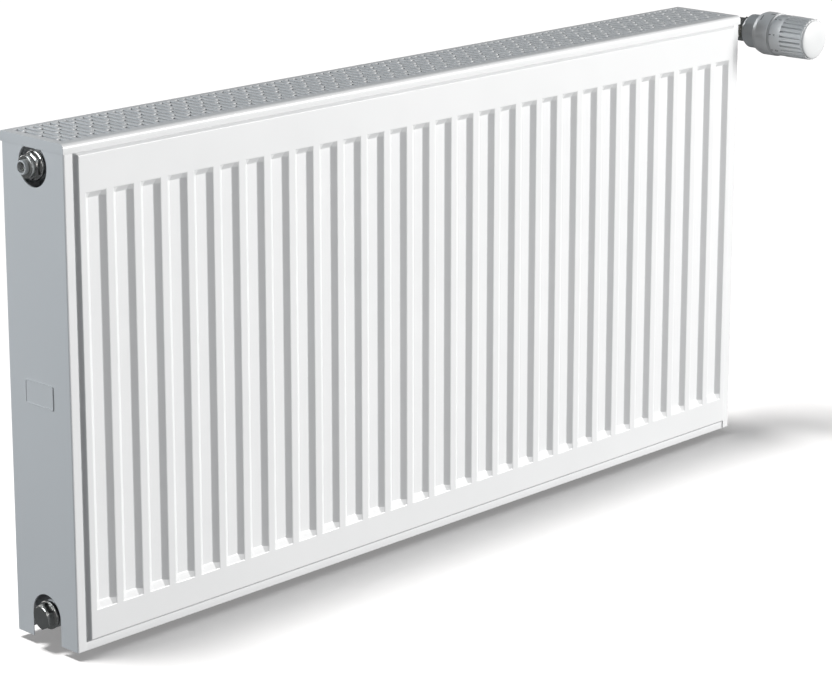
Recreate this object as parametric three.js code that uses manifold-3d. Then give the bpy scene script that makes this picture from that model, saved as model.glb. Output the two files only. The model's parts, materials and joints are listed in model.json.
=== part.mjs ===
// Double-panel radiator with two convectors and a thermostatic valve on its top right port.
//
// Frame, in millimetres: +X along the length towards the valve, +Y towards the wall, +Z up.
// The origin is at mid-length, on the plane of the hanging lugs' outer faces, level with the
// panels' lower edge. "depth" is a distance towards the wall from the front panel's raised field.

import * as THREE from 'three';
import { mergeGeometries, mergeVertices } from 'three/addons/utils/BufferGeometryUtils.js';
import Module from 'manifold-3d';

const wasm = await Module();
wasm.setup();

// ---------------------------------------------------------------- driving dimensions

const GAP = 0.3; // left between pieces that touch
const ROUND = 16; // sides of a small round piece
const ROUND_HEAD = 28; // sides of the thermostatic head's pieces

const LENGTH = 1000;
const HEIGHT = 500; // to the grille's top
const DEPTH = 100; // from the front panel's field to the rear panel's field
const LUG_STAND_OFF = 7; // of the lugs' outer faces behind the rear field

const SHEET = 1.2; // thickness of the pressed sheets
const PRESS_DEPTH = 4.8; // of the flutes, and of the flange behind the field
const PANEL_HEIGHT = 498.7;
const FLUTE_COUNT = 29;
const FLUTE_PITCH = LENGTH / (FLUTE_COUNT + 1);
const FLUTE_WIDTH = 24.7; // at the mouth
const FLUTE_RUN = 5.85; // width of a flute's sloping side
const FLUTE_BOTTOM = 40;
const FLUTE_TOP = 451;
const FIELD_EDGE = 13.6; // from the panel's ends to the flat of the field
const FIELD_BOTTOM = 11.5;
const FIELD_TOP = 487.5;
const FIELD_RUN = 3; // width of the field's sloping edge

const PORT_INSET_Z = 27; // port centres, from the top and the bottom
const PORT_THREAD_R = 10.6; // of the tapped hole, a G 1/2 thread
const WATER_R = 8; // of the waterways

const COVER_SHEET = 0.8;
const COVER_LIP = 9.4; // reach of the cover's lips over the panel's ends
const COVER_OPENING_R = 21;
const GRILLE_SHEET = 0.9;
const GRILLE_SKIRT = 10;
const SLOT_PITCH = 10;
const SLOT_WIDTH = 5.2;
const SLOT_FRONT = 15; // depth at which the slots start
const SLOT_BACK = 89; // depth at which they end

const CONVECTOR_SHEET = 0.6;
const CONVECTOR_REACH = 33.4;
const CONVECTOR_BOTTOM = 60;
const CONVECTOR_TOP = 440;

const VALVE_OFFSET = 57; // valve axis, beyond the panel's right end

// ---------------------------------------------------------------- derived places

const REAR_Y = -LUG_STAND_OFF;
const FRONT_Y = REAR_Y - DEPTH;
const PORT_Y = FRONT_Y + DEPTH / 2;
const END_X = LENGTH / 2;
const PORT_LOW_Z = PORT_INSET_Z;
const PORT_HIGH_Z = HEIGHT - PORT_INSET_Z;
const PANEL_THICKNESS = 2 * (PRESS_DEPTH + SHEET) + GAP;
const TEE_FACE = 4.5; // port face, inside the panel's end
const TEE_AXIS = 26; // cross tube's axis, inside the panel's end

// ---------------------------------------------------------------- materials

function material(color, roughness, metalness) {
  return new THREE.MeshStandardMaterial({ color, roughness, metalness });
}

const paint = () => material(0xf2f4f6, 0.35, 0);
const greyPaint = () => material(0xe4e8ec, 0.4, 0);
const nickel = () => material(0xb9bab4, 0.22, 1);
const brass = () => material(0xb8954a, 0.35, 1);
const springSteel = () => material(0x8f9396, 0.3, 1);
const seal = () => material(0x17181a, 0.7, 0);
const whitePlastic = () => material(0xf4f5f5, 0.4, 0);
const greyPlastic = () => material(0xc4cacc, 0.45, 0);
const aluminium = () => material(0xc9ccce, 0.35, 1);

// ---------------------------------------------------------------- geometry helpers

function toSolid(geometry) {
  const bare = geometry.clone();
  bare.deleteAttribute('normal');
  bare.deleteAttribute('uv');
  const merged = mergeVertices(bare, 1e-4);
  return new wasm.Manifold(new wasm.Mesh({
    numProp: 3,
    vertProperties: new Float32Array(merged.attributes.position.array),
    triVerts: new Uint32Array(merged.index.array),
  }));
}

function toGeometry(solid) {
  const mesh = solid.getMesh();
  const geometry = new THREE.BufferGeometry();
  geometry.setAttribute('position', new THREE.BufferAttribute(new Float32Array(mesh.vertProperties), 3));
  geometry.setIndex(new THREE.BufferAttribute(new Uint32Array(mesh.triVerts), 1));
  return geometry;
}

function join(...geometries) {
  return toGeometry(geometries.map(toSolid).reduce((sum, next) => sum.add(next)));
}

function cut(geometry, ...tools) {
  return toGeometry(tools.map(toSolid).reduce((rest, tool) => rest.subtract(tool), toSolid(geometry)));
}

// A box between two corners.
function box(low, high) {
  const size = high.map((value, axis) => value - low[axis]);
  const centre = high.map((value, axis) => (value + low[axis]) / 2);
  return new THREE.BoxGeometry(...size).translate(...centre);
}

// A block that narrows or widens from its front face to its back face, along Y.
function taperedBlock(frontSize, backSize, frontY, backY, centreX, centreZ) {
  const block = new THREE.BoxGeometry(1, backY - frontY, 1);
  const position = block.attributes.position;
  for (let i = 0; i < position.count; i += 1) {
    const size = position.getY(i) < 0 ? frontSize : backSize;
    position.setX(i, position.getX(i) * size[0]);
    position.setZ(i, position.getZ(i) * size[1]);
  }
  return block.translate(centreX, (frontY + backY) / 2, centreZ);
}

// A turned piece round the Y axis. The profile lists [radius, y] round the section, anticlockwise.
function turned(profile, segments = ROUND) {
  return new THREE.LatheGeometry(profile.map(([r, y]) => new THREE.Vector2(r, y)), segments);
}

function disc(radius, y0, y1, segments = ROUND) {
  return turned([[0, y0], [radius, y0], [radius, y1], [0, y1]], segments);
}

function ring(outer, inner, y0, y1, segments = ROUND) {
  return turned([[outer, y0], [outer, y1], [inner, y1], [inner, y0], [outer, y0]], segments);
}

// A hexagonal prism round the Y axis, given by its width across flats.
function hexagon(acrossFlats, y0, y1) {
  const radius = acrossFlats / Math.sqrt(3);
  return new THREE.CylinderGeometry(radius, radius, y1 - y0, 6).translate(0, (y0 + y1) / 2, 0);
}

function cylinderAlongX(radius, x0, x1, segments = ROUND) {
  const round = new THREE.CylinderGeometry(radius, radius, x1 - x0, segments);
  return round.rotateZ(Math.PI / 2).translate((x0 + x1) / 2, 0, 0);
}

function cylinderAlongY(radius, y0, y1, segments = ROUND) {
  return new THREE.CylinderGeometry(radius, radius, y1 - y0, segments).translate(0, (y0 + y1) / 2, 0);
}

class Helix extends THREE.Curve {
  constructor(radius, y0, y1, turns) {
    super();
    Object.assign(this, { radius, y0, y1, turns });
  }

  getPoint(t) {
    const angle = t * this.turns * 2 * Math.PI;
    const y = this.y0 + (this.y1 - this.y0) * t;
    return new THREE.Vector3(this.radius * Math.cos(angle), y, this.radius * Math.sin(angle));
  }
}

// A coil spring round the Y axis, between two planes.
function spring(radius, wire, y0, y1, turns) {
  const section = new THREE.Shape();
  section.absarc(0, 0, wire / 2, 0, 2 * Math.PI, false);
  const path = new Helix(radius, y0 + wire / 2, y1 - wire / 2, turns);
  return new THREE.ExtrudeGeometry(section, { steps: turns * 10, curveSegments: 3, extrudePath: path });
}

function polygon(points) {
  return new THREE.Shape(points.map(([x, y]) => new THREE.Vector2(x, y)));
}

function place(parent, name, geometry, look) {
  const mesh = new THREE.Mesh(geometry, look);
  mesh.name = name;
  parent.add(mesh);
  return mesh;
}

// ---------------------------------------------------------------- heating panels

// The space behind a panel's pressed outer surface: flange, raised field and sunk flutes.
function pressedBlock(margin) {
  const behind = 20;
  const flange = box(
    [-END_X - margin, PRESS_DEPTH, -margin],
    [END_X + margin, behind, PANEL_HEIGHT + margin],
  );
  const fieldWidth = LENGTH - 2 * FIELD_EDGE;
  const fieldHeight = FIELD_TOP - FIELD_BOTTOM;
  const buried = 1;
  const spread = 2 * FIELD_RUN * (PRESS_DEPTH + buried) / PRESS_DEPTH;
  const field = taperedBlock(
    [fieldWidth, fieldHeight],
    [fieldWidth + spread, fieldHeight + spread],
    0,
    PRESS_DEPTH + buried,
    0,
    (FIELD_TOP + FIELD_BOTTOM) / 2,
  );
  const proud = 1;
  const mouth = 2 * FLUTE_RUN * proud / PRESS_DEPTH;
  const fluteHeight = FLUTE_TOP - FLUTE_BOTTOM;
  const flutes = [];
  for (let i = 1; i <= FLUTE_COUNT; i += 1) {
    flutes.push(taperedBlock(
      [FLUTE_WIDTH + mouth, fluteHeight + mouth],
      [FLUTE_WIDTH - 2 * FLUTE_RUN, fluteHeight - 2 * FLUTE_RUN],
      -proud,
      PRESS_DEPTH,
      i * FLUTE_PITCH - END_X,
      (FLUTE_TOP + FLUTE_BOTTOM) / 2,
    ));
  }
  return cut(join(flange, field), mergeGeometries(flutes));
}

// A pressed sheet with its field towards -Y, at y = 0.
function panelSheet(waterHoles) {
  const outer = pressedBlock(0);
  const inner = pressedBlock(5).translate(0, SHEET, 0);
  const sheet = cut(outer, inner);
  if (!waterHoles) return sheet;
  const holes = [];
  for (const side of [-1, 1]) {
    for (const z of [PORT_LOW_Z, PORT_HIGH_Z]) {
      holes.push(cylinderAlongY(WATER_R, -1, SHEET + 1).translate(side * (END_X - TEE_AXIS), 0, z));
    }
  }
  return cut(sheet, mergeGeometries(holes));
}

// Both sheets of a panel are the same pressing, back to back.
function addPanels(parent) {
  const plain = panelSheet(false);
  const pierced = panelSheet(true);
  const face = place(parent, 'front_panel_face_sheet', plain, paint());
  face.position.y = FRONT_Y;
  const back = place(parent, 'front_panel_back_sheet', pierced, paint());
  back.position.y = FRONT_Y + PANEL_THICKNESS;
  back.rotation.z = Math.PI;
  const inner = place(parent, 'rear_panel_inner_sheet', pierced, paint());
  inner.position.y = REAR_Y - PANEL_THICKNESS;
  const outer = place(parent, 'rear_panel_outer_sheet', plain, paint());
  outer.position.y = REAR_Y;
  outer.rotation.z = Math.PI;
}

// ---------------------------------------------------------------- convectors

// A folded sheet with narrow crests on the panel's lands and wide troughs towards the middle.
function convector() {
  const crestHalf = 4;
  const rootHalf = 7;
  const lands = FLUTE_COUNT + 1;
  const near = [];
  const far = [];
  const offset = CONVECTOR_SHEET;
  for (let i = 0; i < lands; i += 1) {
    const x = (i + 0.5) * FLUTE_PITCH - END_X;
    near.push(
      [x - rootHalf, CONVECTOR_REACH],
      [x - crestHalf, 0],
      [x + crestHalf, 0],
      [x + rootHalf, CONVECTOR_REACH],
    );
    far.push(
      [x - rootHalf + offset, CONVECTOR_REACH + offset],
      [x - crestHalf + offset, offset],
      [x + crestHalf - offset, offset],
      [x + rootHalf - offset, CONVECTOR_REACH + offset],
    );
  }
  const profile = polygon([...near, ...far.reverse()]);
  const depth = CONVECTOR_TOP - CONVECTOR_BOTTOM;
  return new THREE.ExtrudeGeometry(profile, { depth, bevelEnabled: false });
}

function addConvectors(parent) {
  const geometry = convector();
  const front = place(parent, 'front_convector', geometry, greyPaint());
  front.position.set(0, FRONT_Y + PANEL_THICKNESS + GAP, CONVECTOR_BOTTOM);
  const rear = place(parent, 'rear_convector', geometry, greyPaint());
  rear.position.set(0, REAR_Y - PANEL_THICKNESS - GAP, CONVECTOR_BOTTOM);
  rear.rotation.z = Math.PI;
}

// ---------------------------------------------------------------- ports

// A tee with its tapped boss along +X, ending at x = 0, and its cross tube between the panels.
function portTee() {
  const bossRadius = 14;
  const tubeRadius = 11;
  const tapDepth = 14;
  const axis = TEE_FACE - TEE_AXIS;
  const half = DEPTH / 2 - PANEL_THICKNESS - GAP;
  const body = join(
    cylinderAlongX(bossRadius, axis - tubeRadius + 2, 0),
    cylinderAlongY(tubeRadius, -half, half).translate(axis, 0, 0),
  );
  return cut(
    body,
    cylinderAlongX(PORT_THREAD_R, -tapDepth, 1),
    cylinderAlongX(WATER_R, axis, 1),
    cylinderAlongY(WATER_R, -half - 1, half + 1).translate(axis, 0, 0),
  );
}

function addTees(parent) {
  const geometry = portTee();
  for (const [side, sideName] of [[-1, 'left'], [1, 'right']]) {
    for (const [z, heightName] of [[PORT_LOW_Z, 'bottom'], [PORT_HIGH_Z, 'top']]) {
      const tee = place(parent, `port_tee_${heightName}_${sideName}`, geometry, paint());
      tee.position.set(side * (END_X - TEE_FACE), PORT_Y, z);
      tee.rotation.z = side > 0 ? 0 : Math.PI;
    }
  }
}

// ---------------------------------------------------------------- covers and grille

const LIP_DEPTH = PRESS_DEPTH - GAP - COVER_SHEET; // depth of the cover lip's outer face

// The side plate of the left cover, with a notch for the low port and a hole for the high one.
function coverPlate(half, bottom, top) {
  const outline = new THREE.Shape();
  outline.moveTo(-half, bottom);
  outline.lineTo(-COVER_OPENING_R, bottom);
  outline.lineTo(-COVER_OPENING_R, PORT_LOW_Z);
  outline.absarc(0, PORT_LOW_Z, COVER_OPENING_R, Math.PI, 0, true);
  outline.lineTo(COVER_OPENING_R, bottom);
  outline.lineTo(half, bottom);
  outline.lineTo(half, top);
  outline.lineTo(-half, top);
  outline.closePath();
  const hole = new THREE.Path();
  hole.absarc(0, PORT_HIGH_Z, COVER_OPENING_R, 0, 2 * Math.PI, true);
  outline.holes.push(hole);
  const options = { depth: COVER_SHEET, bevelEnabled: false, curveSegments: 12 };
  const plate = new THREE.ExtrudeGeometry(outline, options);
  const x = new THREE.Vector3(1, 0, 0);
  const y = new THREE.Vector3(0, 1, 0);
  const z = new THREE.Vector3(0, 0, 1);
  return plate.applyMatrix4(new THREE.Matrix4().makeBasis(y, z, x));
}

// The left cover, about the port line: its side plate, and the front and back lips.
function sideCover() {
  const half = DEPTH / 2 - LIP_DEPTH;
  const bottom = 0.5;
  const top = PANEL_HEIGHT - GAP;
  const outside = -END_X - GAP - COVER_SHEET;
  const plate = coverPlate(half, bottom, top).translate(outside, 0, 0);
  const lips = [-1, 1].map((side) => {
    const [near, far] = [side * half, side * (half - COVER_SHEET)].sort((a, b) => a - b);
    return box([outside, near, bottom], [COVER_LIP - END_X, far, top]);
  });
  return join(plate, ...lips);
}

function addCovers(parent) {
  const geometry = sideCover();
  const left = place(parent, 'left_side_cover', geometry, paint());
  left.position.y = PORT_Y;
  const right = place(parent, 'right_side_cover', geometry, paint());
  right.position.y = PORT_Y;
  right.rotation.z = Math.PI;
  const badgeWidth = 42;
  const badgeHeight = 24;
  const badgeThickness = 0.9;
  const badgeBack = -END_X - GAP - COVER_SHEET - GAP;
  const badge = new THREE.BoxGeometry(badgeThickness, badgeWidth, badgeHeight);
  const plate = place(parent, 'badge_plate', badge, paint());
  plate.position.set(badgeBack - badgeThickness / 2, PORT_Y, HEIGHT / 2);
}

// The clip-on grille: slotted top with a skirt all round.
function grille() {
  const halfLength = END_X + 2 * GAP + COVER_SHEET + GRILLE_SHEET;
  const halfDepth = DEPTH / 2 - LIP_DEPTH + GAP + GRILLE_SHEET;
  const inside = [halfLength - GRILLE_SHEET, halfDepth - GRILLE_SHEET];
  const shell = cut(
    box([-halfLength, -halfDepth, HEIGHT - GRILLE_SKIRT], [halfLength, halfDepth, HEIGHT]),
    box([-inside[0], -inside[1], 0], [inside[0], inside[1], HEIGHT - GRILLE_SHEET]),
  );
  const slots = [];
  for (let x = SLOT_PITCH; x < LENGTH; x += SLOT_PITCH) {
    const left = x - END_X - SLOT_WIDTH / 2;
    const front = SLOT_FRONT - DEPTH / 2;
    const back = SLOT_BACK - DEPTH / 2;
    slots.push(box([left, front, HEIGHT - 2], [left + SLOT_WIDTH, back, HEIGHT + 1]));
  }
  return cut(shell, mergeGeometries(slots));
}

function addGrille(parent) {
  place(parent, 'top_grille', grille(), paint()).position.y = PORT_Y;
}

// ---------------------------------------------------------------- hanging lugs

// A hat-shaped strip that bridges one flute, with its feet on the lands at both sides.
function lug() {
  const strip = 2.5;
  const foot = 7;
  const span = FLUTE_PITCH / 2;
  const outer = span - foot / 2;
  const profile = polygon([
    [-span - foot / 2, GAP],
    [-outer, GAP],
    [-outer, LUG_STAND_OFF - strip],
    [outer, LUG_STAND_OFF - strip],
    [outer, GAP],
    [span + foot / 2, GAP],
    [span + foot / 2, GAP + strip],
    [outer + strip, GAP + strip],
    [outer + strip, LUG_STAND_OFF],
    [-outer - strip, LUG_STAND_OFF],
    [-outer - strip, GAP + strip],
    [-span - foot / 2, GAP + strip],
  ]);
  return new THREE.ExtrudeGeometry(profile, { depth: 50, bevelEnabled: false });
}

function addLugs(parent) {
  const geometry = lug();
  const flutesFromEnd = 3;
  const x = END_X - flutesFromEnd * FLUTE_PITCH;
  for (const [side, sideName] of [[-1, 'left'], [1, 'right']]) {
    for (const [z, heightName] of [[75, 'lower'], [370, 'upper']]) {
      const strip = place(parent, `hanging_lug_${heightName}_${sideName}`, geometry, paint());
      strip.position.set(side * x, REAR_Y, z);
    }
  }
}

// ---------------------------------------------------------------- plugs on the left ports
// Turned pieces here stand on the port's axis: y is the distance outwards from the panel's end.

const PLUG_THREAD_R = PORT_THREAD_R - GAP;
const SEAL_BACK = GAP - TEE_FACE;
const SEAL_THICKNESS = 1.5;
const FLANGE_BACK = SEAL_BACK + SEAL_THICKNESS + GAP;
const FLANGE_FRONT = FLANGE_BACK + 2.8;
const FLANGE_R = 14.4;

function plugSeal() {
  return ring(13.2, PLUG_THREAD_R + GAP, SEAL_BACK, SEAL_BACK + SEAL_THICKNESS);
}

// The screwed shank of a plug, with the flange that presses on the seal.
function plugShank() {
  const end = -16;
  return turned([
    [0, end],
    [PLUG_THREAD_R, end],
    [PLUG_THREAD_R, FLANGE_BACK],
    [FLANGE_R, FLANGE_BACK],
    [FLANGE_R, FLANGE_FRONT],
    [0, FLANGE_FRONT],
  ]);
}

function addBlankPlug(parent) {
  const headFront = 8.8;
  const endFaceR = 11;
  const clear = 16;
  const chamfer = turned([
    [clear, headFront - 2.5],
    [clear, headFront + 1],
    [endFaceR - 1, headFront + 0.5],
    [endFaceR, headFront],
    [clear, headFront - 2.5],
  ]);
  const head = cut(hexagon(23, FLANGE_FRONT - 1, headFront), chamfer);
  place(parent, 'blank_plug', join(plugShank(), head), nickel());
  place(parent, 'blank_plug_seal', plugSeal(), seal());
}

const VENT = {
  stemR: 5, // the plug's neck, round the bleed screw
  stemFront: 9.8,
  screwR: 3.5,
  screwBack: -7,
  boreR: 3.9,
  hexFront: 5,
  collarBoreR: 5.4,
  collarR: 11,
  collarFront: 10,
  noseR: 7,
  noseFront: 14.6,
  keySquare: 5, // the bleed screw's square head
  keyFront: 13.6,
};

function ventPlug() {
  const body = join(
    plugShank(),
    hexagon(24, FLANGE_FRONT - 1, VENT.hexFront),
    disc(VENT.stemR, VENT.hexFront - 1, VENT.stemFront),
  );
  const screwBore = disc(VENT.boreR, VENT.screwBack - 1, VENT.keyFront);
  const airWay = disc(1.2, -20, VENT.screwBack, 12);
  return cut(body, screwBore, airWay);
}

function ventScrew() {
  const half = VENT.keySquare / 2;
  const head = box([-half, VENT.stemFront, -half], [half, VENT.keyFront, half]);
  return join(disc(VENT.screwR, VENT.screwBack, VENT.stemFront + GAP), head);
}

function ventCollar() {
  const collar = ring(VENT.collarR, VENT.collarBoreR, VENT.hexFront + GAP, VENT.collarFront);
  const middle = (VENT.hexFront + VENT.collarFront) / 2;
  const drain = new THREE.CylinderGeometry(1.2, 1.2, 10, 10).rotateX(Math.PI / 2).translate(0, middle, -9);
  return cut(collar, drain);
}

function addVentPlug(parent) {
  place(parent, 'vent_plug', ventPlug(), nickel());
  place(parent, 'vent_plug_seal', plugSeal(), seal());
  place(parent, 'vent_collar', ventCollar(), nickel());
  const nose = ring(VENT.noseR, VENT.collarBoreR, VENT.collarFront + GAP, VENT.noseFront);
  place(parent, 'vent_nose_ring', nose, whitePlastic());
  place(parent, 'vent_screw', ventScrew(), nickel());
}

// Local +Y points out of the left end.
function portGroup(z) {
  const group = new THREE.Group();
  group.position.set(-END_X, PORT_Y, z);
  group.rotation.z = Math.PI / 2;
  return group;
}

function addPlugs(parent) {
  const low = portGroup(PORT_LOW_Z);
  addBlankPlug(low);
  parent.add(low);
  const high = portGroup(PORT_HIGH_Z);
  addVentPlug(high);
  parent.add(high);
}

// ---------------------------------------------------------------- valve
// Pieces here stand on the valve's axis: y is a depth, and x = -VALVE_OFFSET is the panel's right end.

const BRANCH_END = -29; // x of the branch's face towards the radiator
const SEAT = 56.1; // depth of the valve seat
const NECK_R = 9.9; // of the neck and the hole that it screws into
const PIN_R = 1.6;
const PIN_BORE_R = 2.1;
const PIPE_R = 7.5; // of the supply pipe
const PIPE_BORE_R = 7.8;
const OLIVE_BACK = 84;
const TAIL_COLLAR = 4.5; // thickness of the tail's collar
const TAIL_COLLAR_END = BRANCH_END - GAP;

function valveBody() {
  const middle = DEPTH / 2;
  const body = join(
    cylinderAlongY(14, 37, 68),
    cylinderAlongY(10.9, 67, 80),
    cylinderAlongX(11.4, -18, -10).translate(0, middle, 0),
    cylinderAlongX(13, BRANCH_END, -17).translate(0, middle, 0),
  );
  return cut(
    body,
    cylinderAlongY(NECK_R + GAP, 36, SEAT),
    cylinderAlongY(5.2, 50, 70),
    cylinderAlongY(PIPE_R + 0.2, 60, 81),
    cylinderAlongX(WATER_R, BRANCH_END - 1, -5).translate(0, middle, 0),
  );
}

function tailPiece() {
  const portFace = -VALVE_OFFSET - TEE_FACE;
  const bore = 6.8;
  const collarR = 12.2;
  const stepX = TAIL_COLLAR_END - TAIL_COLLAR;
  const along = (radius, x0, x1) => cylinderAlongX(radius, x0, x1).translate(0, DEPTH / 2, 0);
  const solid = join(
    along(PLUG_THREAD_R, portFace - 12, portFace + GAP + 1),
    along(9.6, portFace, stepX + 1),
    along(collarR, stepX, TAIL_COLLAR_END),
  );
  return cut(solid, along(bore, portFace - 13, TAIL_COLLAR_END + 1));
}

function unionNut() {
  const back = TAIL_COLLAR_END - 11;
  const shoulder = TAIL_COLLAR_END - TAIL_COLLAR - GAP;
  const front = BRANCH_END + 9;
  const blank = hexagon(30, back, front).rotateZ(-Math.PI / 2).translate(0, DEPTH / 2, 0);
  const along = (radius, x0, x1) => cylinderAlongX(radius, x0, x1).translate(0, DEPTH / 2, 0);
  return cut(blank, along(10, back - 1, shoulder + 1), along(13.4, shoulder, front + 1));
}

function inletNut() {
  const blank = hexagon(27, 68.5, 88);
  return cut(blank, cylinderAlongY(11.3, 67, OLIVE_BACK + GAP), cylinderAlongY(PIPE_BORE_R, 80, 89));
}

// The screwed-in insert that carries the pin, with the outer thread for the head's nut.
function valveInsert() {
  const body = join(
    disc(15, 17, 31),
    hexagon(27, 30.3, 36.6),
    disc(NECK_R, 35, 44),
  );
  return cut(body, disc(PIN_BORE_R, 10, 50, 12), disc(5.6, 16, 22), disc(6.4, 38, 50));
}

function addValve(parent) {
  place(parent, 'valve_body', valveBody(), nickel());
  place(parent, 'valve_tail', tailPiece(), nickel());
  place(parent, 'union_nut', unionNut(), nickel());
  place(parent, 'inlet_nut', inletNut(), nickel());
  place(parent, 'inlet_olive', ring(9.6, PIPE_BORE_R, 80 + GAP, OLIVE_BACK), brass());
  place(parent, 'valve_insert', valveInsert(), nickel());
  place(parent, 'gland_nut', ring(5.3, PIN_BORE_R, 16.4, 19.4, 12), brass());
  place(parent, 'gland_o_ring', ring(5.2, PIN_BORE_R, 19.7, 21.6, 12), seal());
  place(parent, 'valve_pin', disc(PIN_R, 13, 51.2, 10), springSteel());
  const holder = cut(disc(6, 50.2, 52), disc(PIN_R + GAP, 49, 51.5, 12));
  place(parent, 'valve_disc_holder', holder, brass());
  place(parent, 'valve_disc', disc(6.6, 52.3, 54.8), seal());
  place(parent, 'valve_spring', spring(4.4, 1, 38.4, 49.9, 4), springSteel());
}

// ---------------------------------------------------------------- thermostatic head

const HEAD = {
  nutBack: 30,
  nutFront: 11.2,
  nutR: 19.8,
  baseR: 25.5,
  baseFront: -13,
  knobFront: -62,
  knobR: 25.2,
  gripR: 24.4,
  capFront: -66,
  capR: 22.4,
  fluteCount: 26,
};

function headNut() {
  const { nutBack, nutFront, nutR } = HEAD;
  const bore = 15.4;
  return turned([
    [nutR - 1.2, nutFront],
    [nutR, nutFront + 1.5],
    [nutR, nutBack - 4],
    [nutR - 3, nutBack],
    [bore, nutBack],
    [bore, nutFront],
    [nutR - 1.2, nutFront],
  ], ROUND_HEAD);
}

// The fixed base: rim, a tail inside the nut, and a cage that guides the sensor inside the knob.
function headBase() {
  const { baseR, baseFront, nutFront } = HEAD;
  const back = nutFront - GAP;
  const rimInnerR = 20.5;
  const tailR = 14.9;
  const tailBack = 16.2;
  const guideR = 6;
  const guideFront = -8;
  const cageR = 17.4;
  const cageInnerR = 15.6;
  const cageFront = -44;
  return turned([
    [rimInnerR, baseFront],
    [baseR, baseFront],
    [baseR, back - 5],
    [baseR - 1.6, back - 1.2],
    [baseR - 5, back],
    [tailR, back],
    [tailR, tailBack],
    [guideR, tailBack],
    [guideR, guideFront],
    [cageInnerR, guideFront],
    [cageInnerR, cageFront],
    [cageR, cageFront],
    [cageR, baseFront + 4],
    [rimInnerR, baseFront + 4],
    [rimInnerR, baseFront],
  ], ROUND_HEAD);
}

function fluteOutline() {
  const { gripR, fluteCount } = HEAD;
  const fluteDepth = 1.3;
  const points = [];
  for (let i = 0; i < fluteCount; i += 1) {
    for (const [share, sunk] of [[0, 0], [0.56, 0], [0.78, fluteDepth]]) {
      const angle = (i + share) / fluteCount * 2 * Math.PI;
      points.push([(gripR - sunk) * Math.cos(angle), (gripR - sunk) * Math.sin(angle)]);
    }
  }
  return polygon(points);
}

// The knob: smooth scale ring, fluted grip and a rim round the end cap.
function headKnob() {
  const { baseFront, knobFront, knobR, capR } = HEAD;
  const scaleLength = 16.5;
  const back = baseFront - 0.5;
  const depth = back - 1 - knobFront;
  const grip = new THREE.ExtrudeGeometry(fluteOutline(), { depth, bevelEnabled: false });
  grip.rotateX(-Math.PI / 2).translate(0, knobFront, 0);
  const shell = join(ring(knobR, 18, back - scaleLength, back, ROUND_HEAD), grip);
  const bore = disc(18.4, knobFront + 5, back + 1);
  const capSeat = disc(capR + GAP, knobFront - 1, knobFront + 2.6, ROUND_HEAD);
  return cut(shell, bore, capSeat);
}

function headCap() {
  const { capR, knobFront, capFront } = HEAD;
  return turned([
    [0, capFront],
    [capR * 0.6, capFront + 0.7],
    [capR * 0.9, capFront + 2],
    [capR, capFront + 3.6],
    [capR, knobFront + 2.3],
    [0, knobFront + 2.3],
  ], ROUND_HEAD);
}

function addHead(parent) {
  place(parent, 'head_nut', headNut(), greyPlastic());
  place(parent, 'head_base', headBase(), whitePlastic());
  place(parent, 'head_knob', headKnob(), whitePlastic());
  place(parent, 'head_end_cap', headCap(), whitePlastic());
  place(parent, 'sensor_capsule', disc(15, -49, -12), aluminium());
  const plunger = turned([[0, -11.7], [11, -11.7], [11, -9.7], [4.5, -9.7], [4.5, 12.7], [0, 12.7]], 16);
  place(parent, 'sensor_plunger', plunger, greyPlastic());
  place(parent, 'overload_spring', spring(11, 1.4, -56.5, -49.3, 3), springSteel());
}

// ---------------------------------------------------------------- assembly

const group = new THREE.Group();
addPanels(group);
addConvectors(group);
addTees(group);
addCovers(group);
addGrille(group);
addLugs(group);
addPlugs(group);

const valveGroup = new THREE.Group();
valveGroup.position.set(END_X + VALVE_OFFSET, FRONT_Y, PORT_HIGH_Z);
addValve(valveGroup);
addHead(valveGroup);
group.add(valveGroup);

export default group;
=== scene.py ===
"""The looks of a wall-hung panel radiator with a thermostatic valve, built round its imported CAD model.

Shapes are worked out in millimetres, in the model's frame: +X along the length towards the valve,
+Y towards the wall, +Z up. "depth" is a distance towards the wall from the front panel's field.
"""
import json
import math

import bmesh
import bpy
from mathutils import Matrix, Vector
from mathutils.geometry import tessellate_polygon


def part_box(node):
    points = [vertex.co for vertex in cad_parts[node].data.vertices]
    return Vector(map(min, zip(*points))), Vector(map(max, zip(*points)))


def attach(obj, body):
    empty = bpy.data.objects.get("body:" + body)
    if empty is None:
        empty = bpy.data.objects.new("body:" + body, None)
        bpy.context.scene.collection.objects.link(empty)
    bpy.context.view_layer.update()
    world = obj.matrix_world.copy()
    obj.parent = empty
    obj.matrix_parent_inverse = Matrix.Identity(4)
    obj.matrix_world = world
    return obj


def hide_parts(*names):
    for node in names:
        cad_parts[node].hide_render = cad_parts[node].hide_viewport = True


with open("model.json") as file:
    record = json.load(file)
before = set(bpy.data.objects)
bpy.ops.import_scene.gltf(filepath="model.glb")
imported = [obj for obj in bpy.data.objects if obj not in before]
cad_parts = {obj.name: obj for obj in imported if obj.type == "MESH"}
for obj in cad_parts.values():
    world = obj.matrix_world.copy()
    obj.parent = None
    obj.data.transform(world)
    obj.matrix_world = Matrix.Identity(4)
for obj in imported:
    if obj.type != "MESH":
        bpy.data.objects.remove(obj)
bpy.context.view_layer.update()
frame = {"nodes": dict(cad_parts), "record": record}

MM = 0.001
TURN = 2 * math.pi


def box_mm(node):
    low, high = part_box(node)
    return low / MM, high / MM


def centre_mm(node):
    low, high = box_mm(node)
    return (low + high) / 2


# ------------------------------------------------------------------ places taken from the frame

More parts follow.
